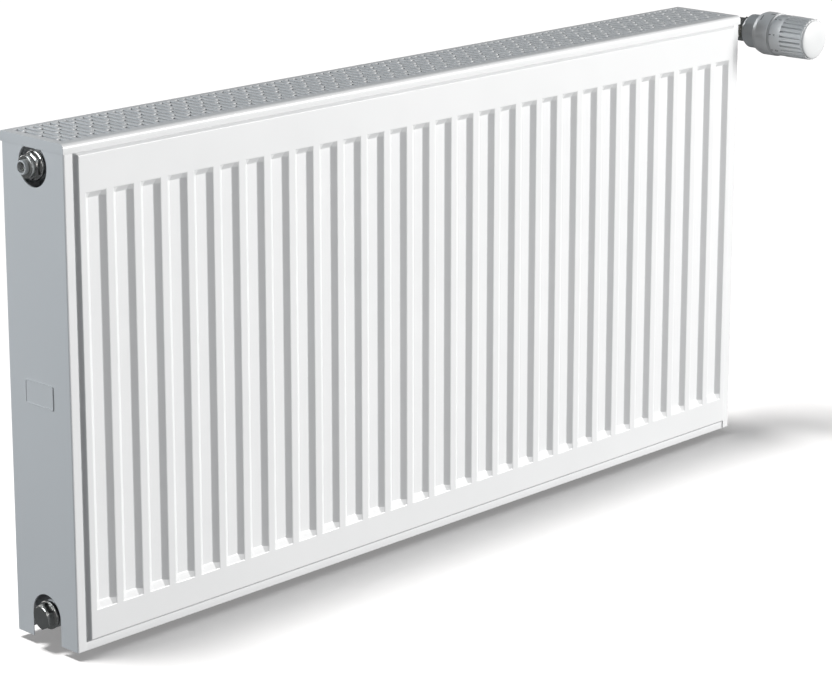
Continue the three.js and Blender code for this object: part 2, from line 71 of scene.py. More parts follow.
PANEL_LOW, PANEL_HIGH = box_mm("front_panel_face_sheet")
GRILLE_LOW, GRILLE_HIGH = box_mm("top_grille")
COVER_LOW, COVER_HIGH = box_mm("left_side_cover")
END_X = PANEL_HIGH.x
FRONT_Y = PANEL_LOW.y
REAR_Y = box_mm("rear_panel_outer_sheet")[1].y
MIDDLE_Y = (FRONT_Y + REAR_Y) / 2
DEPTH = REAR_Y - FRONT_Y
PORT_LOW_Z = centre_mm("blank_plug").z
PORT_HIGH_Z = centre_mm("vent_plug").z
VALVE_X = centre_mm("head_base").x
VALVE_Z = centre_mm("head_base").z

# ------------------------------------------------------------------ driving dimensions, millimetres

SHEET = 1.2
PRESS = 4.8  # depth of the flutes, and of the flange behind the field
WELD_GAP = 0.3  # left between the two sheets of a panel
FLUTES = 29
PITCH = 2 * END_X / (FLUTES + 1)
FLUTE_HALF = 12.35  # half of a flute's mouth
FLUTE_RUN = 5.85  # width of a flute's sloping side
FLUTE_BOTTOM = 40
FLUTE_TOP = 451
FLUTE_RUN_BOTTOM = 7
FLUTE_RUN_TOP = 6
BEND = 1.5  # width over which a pressed bend is rounded
FIELD_EDGE = 13.6
FIELD_BOTTOM = 11.5
FIELD_TOP = 487.5
FIELD_RUN = 3

COVER_SHEET = 0.8
OPENING_R = 21
OPENING_RIM = 1.8  # height of the in-turned edges of a cover's openings
GRILLE_SHEET = 0.9
SLOT_PITCH = 10
SLOT_WIDTH = 5.2
SLOT_FRONT = 15  # depth at which the slots start
SLOT_BACK = 89.5
TAB_ROWS = (37.5, 63.5)  # depths where every second column's slots end in a tab
BRIDGE_ROWS = (26, 51.5, 77)  # depths of the plain bridges in the other columns
BRIDGE = 2.4  # width of a bridge between two slots
RIM = 2.0  # height of a slot's down-turned edge
TAB = 2.8  # length of a bent tab
ROLL = 4.6  # radius of the grille's front edge
BACK_ROLL = 1.6

HEX_SEGMENTS = 144  # steps round a hexagonal piece
HEAD_SEGMENTS = 128  # steps round the head's plain pieces

FLOOR_Z = -0.008  # metres; the radiator hangs just clear of the floor


# ------------------------------------------------------------------ outline and mesh helpers

def rounded(corners, steps=4):
    """Points of the closed outline through corners (a, b, radius), with each corner turned into an arc."""
    points = []
    for i, (a, b, radius) in enumerate(corners):
        here = Vector((a, b))
        if radius == 0:
            points.append((a, b))
            continue
        before = (Vector(corners[i - 1][:2]) - here).normalized()
        after = (Vector(corners[(i + 1) % len(corners)][:2]) - here).normalized()
        half = before.angle(after) / 2
        centre = here + (before + after).normalized() * radius / math.sin(half)
        start = here + before * radius / math.tan(half) - centre
        end = here + after * radius / math.tan(half) - centre
        sweep = math.atan2(start.cross(end), start.dot(end))
        for step in range(steps + 1):
            spoke = Matrix.Rotation(sweep * step / steps, 2) @ start
            points.append(tuple(centre + spoke))
    return points


def make_mesh(name, points, faces):
    """A new object with these points, in millimetres, cleaned up and with its faces pointing outwards."""
    data = bpy.data.meshes.new(name)
    data.from_pydata([Vector(point) * MM for point in points], [], faces)
    work = bmesh.new()
    work.from_mesh(data)
    bmesh.ops.remove_doubles(work, verts=work.verts, dist=0.001 * MM)
    bmesh.ops.dissolve_degenerate(work, edges=work.edges, dist=0.0005 * MM)
    bmesh.ops.recalc_face_normals(work, faces=work.faces)
    work.to_mesh(data)
    work.free()
    obj = bpy.data.objects.new(name, data)
    bpy.context.scene.collection.objects.link(obj)
    return obj


def modifier(obj, kind, **settings):
    added = obj.modifiers.new(kind.lower(), kind)
    for key, value in settings.items():
        setattr(added, key, value)
    return added


def merge_flat_faces(obj):
    """Joins neighbouring faces that lie in one plane, so that a flat end is a single face."""
    work = bmesh.new()
    work.from_mesh(obj.data)
    bmesh.ops.dissolve_limit(work, angle_limit=math.radians(0.5), verts=work.verts, edges=work.edges)
    work.to_mesh(obj.data)
    work.free()


def bevel(obj, width, segments=2, angle=40):
    return modifier(obj, "BEVEL", width=width * MM, segments=segments, limit_method="ANGLE",
                    angle_limit=math.radians(angle))


def settle(obj, sharp=35, even=True):
    """Applies the modifiers and shades the mesh smooth, except at sharp edges."""
    if even:
        modifier(obj, "WEIGHTED_NORMAL", keep_sharp=True, weight=100)
    obj.data.shade_smooth()
    obj.data.set_sharp_from_angle(angle=math.radians(sharp))
    graph = bpy.context.evaluated_depsgraph_get()
    data = bpy.data.meshes.new_from_object(obj.evaluated_get(graph))
    obj.modifiers.clear()
    obj.data = data
    data.name = obj.name
    return obj


def boolean(target, tool, operation="DIFFERENCE"):
    """Cuts or joins target with tool, which is then removed."""
    modifier(target, "BOOLEAN", object=tool, operation=operation, solver="EXACT")
    graph = bpy.context.evaluated_depsgraph_get()
    target.data = bpy.data.meshes.new_from_object(target.evaluated_get(graph))
    target.modifiers.clear()
    bpy.data.objects.remove(tool)
    return target


def swept(name, section, place=Matrix(), segments=96):
    """A solid round the local Y axis: section(angle) gives its closed outline as (radius, y) points."""
    outlines = [section(k / segments * TURN) for k in range(segments)]
    count = len(outlines[0])
    points = []
    faces = []
    for k, outline in enumerate(outlines):
        angle = k / segments * TURN
        following = (k + 1) % segments
        points += [place @ Vector((r * math.cos(angle), y, r * math.sin(angle))) for r, y in outline]
        for i in range(count):
            j = (i + 1) % count
            faces.append((k * count + i, k * count + j, following * count + j, following * count + i))
    return make_mesh(name, points, faces)


def turned(name, outline, place=Matrix(), segments=96):
    return swept(name, lambda angle: outline, place, segments)


def cylinder(radius, low, high, place, segments=64):
    return turned("tool", [(0, low), (radius, low), (radius, high), (0, high)], place, segments)


def extruded(name, outline, low, high, place=Matrix()):
    """A prism along the local Z axis with this closed outline."""
    count = len(outline)
    points = [place @ Vector((a, b, z)) for z in (low, high) for a, b in outline]
    faces = [tuple(range(count)), tuple(range(count, 2 * count))]
    for i in range(count):
        j = (i + 1) % count
        faces.append((i, j, count + j, count + i))
    return make_mesh(name, points, faces)


def flat_radius(angle, sides, across):
    """Radius of a regular prism's side at this angle round it."""
    sector = TURN / sides
    return across / 2 / math.cos((angle + sector / 2) % sector - sector / 2)


def stepped(start, *runs):
    """Places across rounded ramps: the ends, middle and bends of each run from its start."""
    marks = []
    for direction, run in runs:
        for share in (-1, -0.5, 0, 0.5, 1):
            marks.append(start + direction * share * BEND / 2)
            marks.append(start + direction * (run + share * BEND / 2))
    return marks


# ------------------------------------------------------------------ materials

def noise(nodes, links, place, scale, detail=3.0, stretch=(1, 1, 1)):
    mapping = nodes.new("ShaderNodeMapping")
    mapping.inputs["Scale"].default_value = stretch
    links.new(place, mapping.inputs["Vector"])
    texture = nodes.new("ShaderNodeTexNoise")
    texture.inputs["Scale"].default_value = scale
    texture.inputs["Detail"].default_value = detail
    links.new(mapping.outputs["Vector"], texture.inputs["Vector"])
    return texture.outputs["Fac"]


def ranged(nodes, links, value, low, high, start=0.3, end=0.7):
    node = nodes.new("ShaderNodeMapRange")
    node.inputs["From Min"].default_value = start
    node.inputs["From Max"].default_value = end
    node.inputs["To Min"].default_value = low
    node.inputs["To Max"].default_value = high
    links.new(value, node.inputs["Value"])
    return node.outputs["Result"]


def blended(nodes, links, share, first, second):
    """A colour between two colours, each a tuple or another node's output."""
    mix = nodes.new("ShaderNodeMix")
    mix.data_type = "RGBA"
    links.new(share, mix.inputs["Factor"])
    for socket, colour in ((mix.inputs["A"], first), (mix.inputs["B"], second)):
        if isinstance(colour, tuple):
            socket.default_value = (*colour, 1)
        else:
            links.new(colour, socket)
    return mix.outputs["Result"]


def surface(name, light, dark, rough, grain, bump, worn=None, metallic=0.0, coat=0.0, stretch=(1, 1, 1),
            patch=12.0):
    """A procedural finish.

    light and dark are the colours it varies between, rough its range of roughness, grain the scale
    of its fine relief per metre, bump that relief's height in metres, and worn the colour at worn edges.
    """
    made = bpy.data.materials.new(name)
    made.use_nodes = True
    nodes, links = made.node_tree.nodes, made.node_tree.links
    shader = nodes["Principled BSDF"]
    shader.inputs["Metallic"].default_value = metallic
    shader.inputs["Coat Weight"].default_value = coat
    shader.inputs["Coat Roughness"].default_value = 0.12
    place = nodes.new("ShaderNodeTexCoord").outputs["Object"]
    tone = ranged(nodes, links, noise(nodes, links, place, patch, 4.0, stretch), 0.0, 1.0)
    colour = blended(nodes, links, tone, light, dark)
    if worn:
        point = nodes.new("ShaderNodeNewGeometry").outputs["Pointiness"]
        edge = ranged(nodes, links, point, 0.0, 0.7, 0.53, 0.62)
        colour = blended(nodes, links, edge, colour, worn)
    links.new(colour, shader.inputs["Base Color"])
    smear = noise(nodes, links, place, patch * 6, 5.0, stretch)
    links.new(ranged(nodes, links, smear, *rough), shader.inputs["Roughness"])
    relief = nodes.new("ShaderNodeBump")
    relief.inputs["Strength"].default_value = 1.0
    relief.inputs["Distance"].default_value = bump
    links.new(noise(nodes, links, place, grain, 2.0, stretch), relief.inputs["Height"])
    links.new(relief.outputs["Normal"], shader.inputs["Normal"])
    return made


# finishes by material slot
FINISH = {
    "paint": surface("white_enamel", (0.765, 0.772, 0.78), (0.745, 0.753, 0.762), (0.36, 0.44), 260, 0.000012,
                     coat=0.1, patch=6.0),
    "inner_paint": surface("white_primer", (0.74, 0.75, 0.76), (0.68, 0.69, 0.7), (0.45, 0.6), 900, 0.00004),
    "nickel": surface("bright_nickel", (0.78, 0.77, 0.74), (0.71, 0.7, 0.67), (0.12, 0.26), 1500, 0.000008,
                      worn=(0.82, 0.81, 0.79), metallic=1.0, patch=60.0),
    "brass": surface("machined_brass", (0.72, 0.57, 0.28), (0.6, 0.45, 0.2), (0.2, 0.36), 1800, 0.00001,
                     worn=(0.8, 0.68, 0.4), metallic=1.0, patch=60.0),
    "spring_steel": surface("spring_steel", (0.56, 0.57, 0.58), (0.42, 0.43, 0.45), (0.22, 0.4), 1500,
                            0.00001, metallic=1.0, patch=80.0),
    "seal": surface("black_rubber", (0.018, 0.018, 0.02), (0.032, 0.032, 0.034), (0.6, 0.8), 1600, 0.00002,
                    patch=60.0),
    "white_plastic": surface("white_plastic", (0.715, 0.725, 0.73), (0.685, 0.697, 0.705), (0.32, 0.46), 1300,
                             0.000012, worn=(0.84, 0.84, 0.84), coat=0.1, patch=40.0),
    "grey_plastic": surface("grey_plastic", (0.6, 0.62, 0.63), (0.56, 0.58, 0.59), (0.3, 0.44), 1300,
                            0.000012, worn=(0.55, 0.57, 0.58), coat=0.1, patch=40.0),
    "aluminium": surface("drawn_aluminium", (0.78, 0.79, 0.8), (0.7, 0.71, 0.72), (0.25, 0.4), 1500, 0.000008,
                         metallic=1.0, stretch=(6, 0.4, 6), patch=40.0),
}


def dress(obj, finish):
    obj.data.materials.clear()
    obj.data.materials.append(finish)
    return obj


def piece(obj, body, slot, *nodes):
    """Finishes a detailed piece: its material, its body and the CAD nodes that it stands for."""
    dress(obj, FINISH[slot])
    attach(obj, body)
    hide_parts(*nodes)
    return obj


def dress_frame():
    """Gives every CAD node the finish of its slot."""
    for row in frame["record"]["subparts"]:
        data = frame["nodes"][row["node"]].data
        for i in range(len(data.materials)):
            data.materials[i] = FINISH[row["material_slot"]]


# ------------------------------------------------------------------ pressed panels

def soft_ramp(distance, run):
    """Rises from 0 to 1 over run, with both bends rounded."""
    def area(s):
        if s <= 0:
            return 0
        return s * s / 2 / run if s < run else s - run / 2
    return (area(distance + BEND / 2) - area(distance - BEND / 2)) / BEND


def press_depth(x, z):
    """How far the pressed sheet lies behind its field."""
    field = min(
        soft_ramp(END_X - abs(x) - FIELD_EDGE + FIELD_RUN, FIELD_RUN),
        soft_ramp(z - FIELD_BOTTOM + FIELD_RUN, FIELD_RUN),
        soft_ramp(FIELD_TOP + FIELD_RUN - z, FIELD_RUN),
    )
    index = min(max(round((x + END_X) / PITCH), 1), FLUTES)
    flute = min(
        soft_ramp(FLUTE_HALF - abs(x + END_X - index * PITCH), FLUTE_RUN),
        soft_ramp(z - FLUTE_BOTTOM, FLUTE_RUN_BOTTOM),
        soft_ramp(FLUTE_TOP - z, FLUTE_RUN_TOP),
    )
    return PRESS * max(1 - field, flute)


def panel_grid():
    """The x and z places of the pressed sheet's points, close together at its bends."""
    across = [-END_X, END_X]
    for side in (-1, 1):
        across += stepped(side * (END_X - FIELD_EDGE + FIELD_RUN), (-side, FIELD_RUN))
    for i in range(1, FLUTES + 1):
        centre = i * PITCH - END_X
        across += stepped(centre - FLUTE_HALF, (1, FLUTE_RUN))
        across += stepped(centre + FLUTE_HALF, (-1, FLUTE_RUN))
    up = [0, PANEL_HIGH.z, *range(80, 440, 40)]
    up += stepped(FIELD_BOTTOM - FIELD_RUN, (1, FIELD_RUN))
    up += stepped(FIELD_TOP + FIELD_RUN, (-1, FIELD_RUN))
    up += stepped(FLUTE_BOTTOM, (1, FLUTE_RUN_BOTTOM))
    up += stepped(FLUTE_TOP, (-1, FLUTE_RUN_TOP))
    return sorted(set(across)), sorted(set(up))


def pressed_sheet(name, place):
    """A heating panel's fluted sheet, its field towards local -Y at y = 0."""
    across, up = panel_grid()
    points = [place @ Vector((x, press_depth(x, z), z)) for x in across for z in up]
    rows = len(up)
    faces = []
    for i in range(len(across) - 1):
        for j in range(rows - 1):
            first = i * rows + j
            faces.append((first, first + rows, first + rows + 1, first + 1))
    data = bpy.data.meshes.new(name)
    data.from_pydata([point * MM for point in points], [], faces)
    obj = bpy.data.objects.new(name, data)
    bpy.context.scene.collection.objects.link(obj)
    modifier(obj, "SOLIDIFY", thickness=SHEET * MM, offset=-1)
    return settle(obj, 60)


def make_panels():
    """Two panels, each of two pressed sheets back to back."""
    half_turn = Matrix.Rotation(math.pi, 4, "Z")
    thickness = 2 * (PRESS + SHEET) + WELD_GAP
    for name, y, turn in (
        ("front_panel_face_sheet", FRONT_Y, Matrix()),
        ("front_panel_back_sheet", FRONT_Y + thickness, half_turn),
        ("rear_panel_inner_sheet", REAR_Y - thickness, Matrix()),
        ("rear_panel_outer_sheet", REAR_Y, half_turn),
    ):
        sheet = pressed_sheet("fluted_" + name, Matrix.Translation((0, y, 0)) @ turn)
        piece(sheet, "radiator", "paint", name)


# ------------------------------------------------------------------ grille

def slot_outline(x, front, back):
    """A slot's outline, starting with the two points of its back edge where a tab is bent down."""
    half = SLOT_WIDTH / 2
    corners = [(x + half, back, 0.5), (x + half, front, 1.0), (x - half, front, 1.0), (x - half, back, 0.5)]
    points = rounded(corners, 3)
    return [points[-1], *points[:-1]]


def grille_cell(x, column):
    """The points and faces of one column of the grille's top: its slots, their rims and their tabs."""
    front, back = top_span()
    edges = [(x - SLOT_PITCH / 2, front), (x + SLOT_PITCH / 2, front),
             (x + SLOT_PITCH / 2, back), (x - SLOT_PITCH / 2, back)]
    rows = TAB_ROWS if column % 2 == 0 else BRIDGE_ROWS
    starts = [SLOT_FRONT, *(row + BRIDGE / 2 for row in rows)]
    ends = [*(row - BRIDGE / 2 for row in rows), SLOT_BACK]
    outlines = [slot_outline(x, FRONT_Y + start, FRONT_Y + end) for start, end in zip(starts, ends)]
    loops = [[Vector((a, b, 0)) for a, b in loop] for loop in (edges, *outlines)]
    points = [(p.x, p.y, GRILLE_HIGH.z) for loop in loops for p in loop]
    faces = [tuple(t) for t in tessellate_polygon(loops)]
    for i, outline in enumerate(outlines):
        tabbed = column % 2 == 0 or i == len(outlines) - 1
        add_rim(points, faces, outline, tabbed)
        if tabbed:
            add_tab(points, faces, outline[0], outline[1])
    return points, faces


def add_rim(points, faces, outline, tabbed):
    """The down-turned edge of a slot, left out at its back where there is a tab."""
    closed = [*outline, outline[0]]
    for (a0, b0), (a1, b1) in list(zip(closed, closed[1:]))[1 if tabbed else 0:]:
        faces.append(tuple(range(len(points), len(points) + 4)))
        points += [(a0, b0, GRILLE_HIGH.z), (a1, b1, GRILLE_HIGH.z),
                   (a1, b1, GRILLE_HIGH.z - RIM), (a0, b0, GRILLE_HIGH.z - RIM)]


def add_tab(points, faces, left, right):
    """A tab bent down and forwards from a slot's back edge."""
    bend = 1.0
    lean = math.radians(55)
    path = [(bend * math.sin(a), bend * (1 - math.cos(a))) for a in (lean * step / 4 for step in range(5))]
    path.append((path[-1][0] + TAB * math.cos(lean), path[-1][1] + TAB * math.sin(lean)))
    for (forward0, down0), (forward1, down1) in zip(path, path[1:]):
        faces.append(tuple(range(len(points), len(points) + 4)))
        points += [(left[0], left[1] - forward0, GRILLE_HIGH.z - down0),
                   (right[0], right[1] - forward0, GRILLE_HIGH.z - down0),
                   (right[0], right[1] - forward1, GRILLE_HIGH.z - down1),
                   (left[0], left[1] - forward1, GRILLE_HIGH.z - down1)]


def top_span():
    return GRILLE_LOW.y + ROLL, GRILLE_HIGH.y - BACK_ROLL


def grille_profile():
    """The grille's section from its front skirt's lower edge up to the flat top, and down its back."""
    top = GRILLE_HIGH.z
    front = [(GRILLE_LOW.y, GRILLE_LOW.z)]
    back = [(GRILLE_HIGH.y, GRILLE_LOW.z)]
    for step in range(9):
        angle = TURN / 4 * step / 8
        inwards = 1 - math.cos(angle)
        drop = 1 - math.sin(angle)
        front.append((GRILLE_LOW.y + ROLL * inwards, top - ROLL * drop))
        back.append((GRILLE_HIGH.y - BACK_ROLL * inwards, top - BACK_ROLL * drop))
    return front, back


def make_grille():
    """The grille: a cap of folded sheet, open below, with rows of slots in its top."""
    points = []
    faces = []
    columns = round(2 * END_X / SLOT_PITCH) - 1
    stations = [GRILLE_LOW.x]
    for column in range(1, columns + 1):
        x = column * SLOT_PITCH - END_X
        cell_points, cell_faces = grille_cell(x, column)
        faces += [tuple(len(points) + i for i in face) for face in cell_faces]
        points += cell_points
        stations.append(x - SLOT_PITCH / 2)
    stations += [END_X - SLOT_PITCH / 2, GRILLE_HIGH.x]
    profiles = grille_profile()
    for low, high in zip(stations, stations[1:]):
        for profile in profiles:
            for (y0, z0), (y1, z1) in zip(profile, profile[1:]):
                faces.append(tuple(range(len(points), len(points) + 4)))
                points += [(low, y0, z0), (high, y0, z0), (high, y1, z1), (low, y1, z1)]
    front, back = profiles
    for low, high in (stations[:2], stations[-2:]):
        faces.append(tuple(range(len(points), len(points) + 4)))
        points += [(low, front[-1][0], GRILLE_HIGH.z), (high, front[-1][0], GRILLE_HIGH.z),
                   (high, back[-1][0], GRILLE_HIGH.z), (low, back[-1][0], GRILLE_HIGH.z)]
    for x in (GRILLE_LOW.x, GRILLE_HIGH.x):
        outline = front + back[::-1]
        faces.append(tuple(range(len(points), len(points) + len(outline))))
        points += [(x, y, z) for y, z in outline]
    obj = make_mesh("slotted_top_grille", points, faces)
    flip_if_inward(obj, Vector((0, 0, 1)))
    bevel(obj, 0.8, 3, 60).profile = 0.5
    modifier(obj, "SOLIDIFY", thickness=GRILLE_SHEET * MM, offset=-1)
    settle(obj, 40)
    # some of the slots' rounded corners come out up to 0.3 mm above the top
    for vertex in obj.data.vertices:
        vertex.co.z = min(vertex.co.z, GRILLE_HIGH.z * MM)
    piece(obj, "radiator", "paint", "top_grille")


def flip_if_inward(obj, outward):
    """Turns an open sheet's faces over if most of those that face along outward point the other way."""
    facing = [(face.normal.dot(outward), face.area) for face in obj.data.polygons]
    if sum(lean * area for lean, area in facing if abs(lean) > 0.9) < 0:
        obj.data.flip_normals()


# ------------------------------------------------------------------ side covers

def arc(centre_y, centre_z, radius, start, end, steps):
    angles = [start + (end - start) * step / steps for step in range(steps + 1)]
    return [(centre_y + radius * math.cos(a), centre_z + radius * math.sin(a)) for a in angles]


def side_cover(name, place):
    """The left cover: side plate with notch and hole, and its folded lips."""
    fold = 1.9
    half = (COVER_HIGH.y - COVER_LOW.y) / 2
    bottom, top = COVER_LOW.z, COVER_HIGH.z
    notch = arc(0, PORT_LOW_Z, OPENING_R, math.pi, 0, 40)
    outer = [(-half + fold, bottom), (-OPENING_R, bottom), *notch, (OPENING_R, bottom), (half - fold, bottom),
             (half - fold, top), (-half + fold, top)]
    hole = arc(0, PORT_HIGH_Z, OPENING_R, 0, TURN * 71 / 72, 71)
    loops = [[Vector((y, z, 0)) for y, z in loop] for loop in (outer, hole)]
    points = [(COVER_LOW.x, p.x, p.y) for loop in loops for p in loop]
    faces = [tuple(t) for t in tessellate_polygon(loops)]
    for loop in (notch, [*hole, hole[0]]):
        for (y0, z0), (y1, z1) in zip(loop, loop[1:]):
            faces.append(tuple(range(len(points), len(points) + 4)))
            points += [(COVER_LOW.x, y0, z0), (COVER_LOW.x, y1, z1),
                       (COVER_LOW.x + OPENING_RIM, y1, z1), (COVER_LOW.x + OPENING_RIM, y0, z0)]
    for side in (-1, 1):
        path = []
        for step in range(9):
            angle = TURN / 4 * step / 8
            x = COVER_LOW.x + fold * (1 - math.cos(angle))
            path.append((x, side * (half - fold + fold * math.sin(angle))))
        path.append((COVER_HIGH.x, side * half))
        for (x0, y0), (x1, y1) in zip(path, path[1:]):
            faces.append(tuple(range(len(points), len(points) + 4)))
            points += [(x0, y0, bottom), (x1, y1, bottom), (x1, y1, top), (x0, y0, top)]
    obj = make_mesh(name, points, faces)
    flip_if_inward(obj, Vector((-1, 0, 0)))
    modifier(obj, "SOLIDIFY", thickness=COVER_SHEET * MM, offset=-1)
    bevel(obj, 0.18, 2, 60)
    to_metres = Matrix.Diagonal((MM, MM, MM, 1))
    to_millimetres = Matrix.Diagonal((1 / MM, 1 / MM, 1 / MM, 1))
    obj.data.transform(to_metres @ place @ to_millimetres)
    return settle(obj, 40)


def make_covers():
    """The left cover, and the same one turned half round for the right end."""
    middle = Matrix.Translation((0, MIDDLE_Y, 0))
    left = side_cover("folded_left_cover", middle)
    piece(left, "radiator", "paint", "left_side_cover")
    right = side_cover("folded_right_cover", middle @ Matrix.Rotation(math.pi, 4, "Z"))
    piece(right, "radiator", "paint", "right_side_cover")


def make_badge():
    """A blank plate with rounded corners and a raised border."""
    low, high = box_mm("badge_plate")
    half_y = (high.y - low.y) / 2
    half_z = (high.z - low.z) / 2
    height = high.x - low.x
    middle = Matrix.Translation((high.x, MIDDLE_Y, (low.z + high.z) / 2))
    to_side = middle @ Matrix.Rotation(-math.pi / 2, 4, "Y")
    rim = 1.4
    corners = [(-half_z, -half_y), (half_z, -half_y), (half_z, half_y), (-half_z, half_y)]
    outer = rounded([(a, b, 2) for a, b in corners], 5)
    inner = rounded([(a * (1 - rim / half_z), b * (1 - rim / half_y), 1.2) for a, b in corners], 5)
    plate = extruded("blank_badge", outer, 0, height, to_side)
    boolean(plate, extruded("badge_recess", inner, height - 0.6, height + 1, to_side))
    bevel(plate, 0.12, 2)
    settle(plate)
    piece(plate, "radiator", "paint", "badge_plate")


# ------------------------------------------------------------------ convectors, tees and lugs

def make_convectors():
    """Folded fins between the panels: one fold for each water channel."""
    for node, turn in (("front_convector", Matrix()), ("rear_convector", Matrix.Rotation(math.pi, 4, "Z"))):
        low, high = box_mm(node)
        sheet = 0.6
        reach = high.y - low.y - sheet
        crest, root = 4, 7
        near = []
        far = []
        for i in range(FLUTES + 1):
            x = (i + 0.5) * PITCH - END_X
            near += [(x - root, reach, 1.6), (x - crest, 0, 1.6), (x + crest, 0, 1.6), (x + root, reach, 1.6)]
            far += [(x - root + sheet, reach + sheet, 1.2), (x - crest + sheet, sheet, 1.2),
                    (x + crest - sheet, sheet, 1.2), (x + root - sheet, reach + sheet, 1.2)]
        near[0] = (*near[0][:2], 0)
        near[-1] = (*near[-1][:2], 0)
        far[0] = (*far[0][:2], 0)
        far[-1] = (*far[-1][:2], 0)
        y = low.y if node.startswith("front") else high.y
        outline = rounded([*near, *far[::-1]], 3)
        obj = extruded("folded_" + node, outline, low.z, high.z, Matrix.Translation((0, y, 0)) @ turn)
        settle(obj, 40, even=False)
        piece(obj, "radiator", "inner_paint", node)


def make_tees():
    """Port tees: a tapped boss and a cross tube, welded together."""
    for side, side_name in ((-1, "left"), (1, "right")):
        for z, height_name in ((PORT_LOW_Z, "bottom"), (PORT_HIGH_Z, "top")):
            node = f"port_tee_{height_name}_{side_name}"
            low, high = box_mm(node)
            face = high.x if side > 0 else low.x
            half = (high.y - low.y) / 2
            # local +Y points out of the panel's end
            outwards = Matrix.Translation((face, MIDDLE_Y, z)) @ Matrix.Rotation(-side * math.pi / 2, 4, "Z")
            across = Matrix.Translation((face - side * 21.5, MIDDLE_Y, z))
            boss = [(0, -30.5, 0), (14, -30.5, 1.5), (14, 0, 0.6), (0, 0, 0)]
            obj = turned("welded_" + node, rounded(boss), outwards, 64)
            tube = [(0, -half, 0), (11, -half, 0), (11, half, 0), (0, half, 0)]
            boolean(obj, turned("tube", rounded(tube), across, 64), "UNION")
            bore = [(0, -26, 0), (8, -26, 0), (8, -14, 0), (9.3, -14, 0), (10.6, -12.6, 0), (10.6, -0.8, 0),
                    (11.5, 0.1, 0), (11.5, 1, 0), (0, 1, 0)]
            boolean(obj, turned("bore", rounded(bore), outwards, 64))
            way = [(0, -half - 1, 0), (8, -half - 1, 0), (8, half + 1, 0), (0, half + 1, 0)]
            boolean(obj, turned("way", rounded(way), across, 64))
            settle(obj, 35, even=False)
            piece(obj, "radiator", "paint", node)


def make_lugs():
    """Hat-shaped strips that bridge a flute, for the wall brackets' hooks."""
    strip = 2.5
    foot = 7
    stand_off = box_mm("hanging_lug_upper_left")[1].y - REAR_Y
    for side_name in ("left", "right"):
        for height_name in ("lower", "upper"):
            node = f"hanging_lug_{height_name}_{side_name}"
            low, high = box_mm(node)
            outer = (high.x - low.x) / 2
            inner = outer - foot
            gap = low.y - REAR_Y
            outline = rounded([
                (-outer, gap, 0.5), (-inner, gap, 1.0), (-inner, stand_off - strip, 1.4),
                (inner, stand_off - strip, 1.4), (inner, gap, 1.0), (outer, gap, 0.5),
                (outer, gap + strip, 0.5), (inner + strip, gap + strip, 0.6), (inner + strip, stand_off, 2.2),
                (-inner - strip, stand_off, 2.2), (-inner - strip, gap + strip, 0.6),
                (-outer, gap + strip, 0.5),
            ])
            place = Matrix.Translation(((low.x + high.x) / 2, REAR_Y, 0))
            obj = extruded("folded_" + node, outline, low.z, high.z, place)
            bevel(obj, 0.4, 2, 60)
            settle(obj)
            piece(obj, "radiator", "paint", node)


# ------------------------------------------------------------------ plugs on the left ports
# Local +Y points out of the left end, and y = 0 is the panels' end.

def at_port(z):
    return Matrix.Translation((-END_X, MIDDLE_Y, z)) @ Matrix.Rotation(math.pi / 2, 4, "Z")


def chamfered_edge(angle, sides, across, front, face_r, slope=0.55):
    """Where a prism's side meets the chamfer that starts at face_r on its front face."""
    radius = flat_radius(angle, sides, across)
    return radius, front - max(0, radius - face_r) * slope


# a plug's section from the end of its shank to the rounded rim of its flange
PLUG_FLANGE = [(10.3, -16), (10.3, -2.4), (14.0, -2.4), (14.4, -2.0), (14.4, -0.5), (14.1, 0.1), (13.4, 0.4)]


def make_blank_plug():
    """A hexagonal plug with a flat end."""
    front = 8.8
    across = 23

    def section(angle):
        radius, edge = chamfered_edge(angle, 6, across, front, 11)
        return [(0, -16), *PLUG_FLANGE, (radius + 0.4, 0.4), (radius, 0.8), (radius, edge),
                (10.9, front - 0.3), (10.4, front), (0, front)]

    obj = swept("machined_blank_plug", section, at_port(PORT_LOW_Z), HEX_SEGMENTS)
    merge_flat_faces(obj)
    bevel(obj, 0.2, 2, 25)
    settle(obj, 20)
    piece(obj, "radiator", "nickel", "blank_plug")


def make_vent_plug():
    """A hexagonal plug with a spigot that the vent's collar turns on."""
    hex_front = 5
    across = 24

    def section(angle):
        radius, edge = chamfered_edge(angle, 6, across, hex_front, 11)
        return [(3.9, -8), (1.2, -8), (1.2, -16), *PLUG_FLANGE, (radius + 0.4, 0.4), (radius, 0.8),
                (radius, edge), (11, hex_front), (5, hex_front), (5, 9.5), (4.7, 9.8), (3.9, 9.8)]

    obj = swept("machined_vent_plug", section, at_port(PORT_HIGH_Z), HEX_SEGMENTS)
    bevel(obj, 0.2, 2, 25)
    settle(obj, 40)
    piece(obj, "radiator", "nickel", "vent_plug")


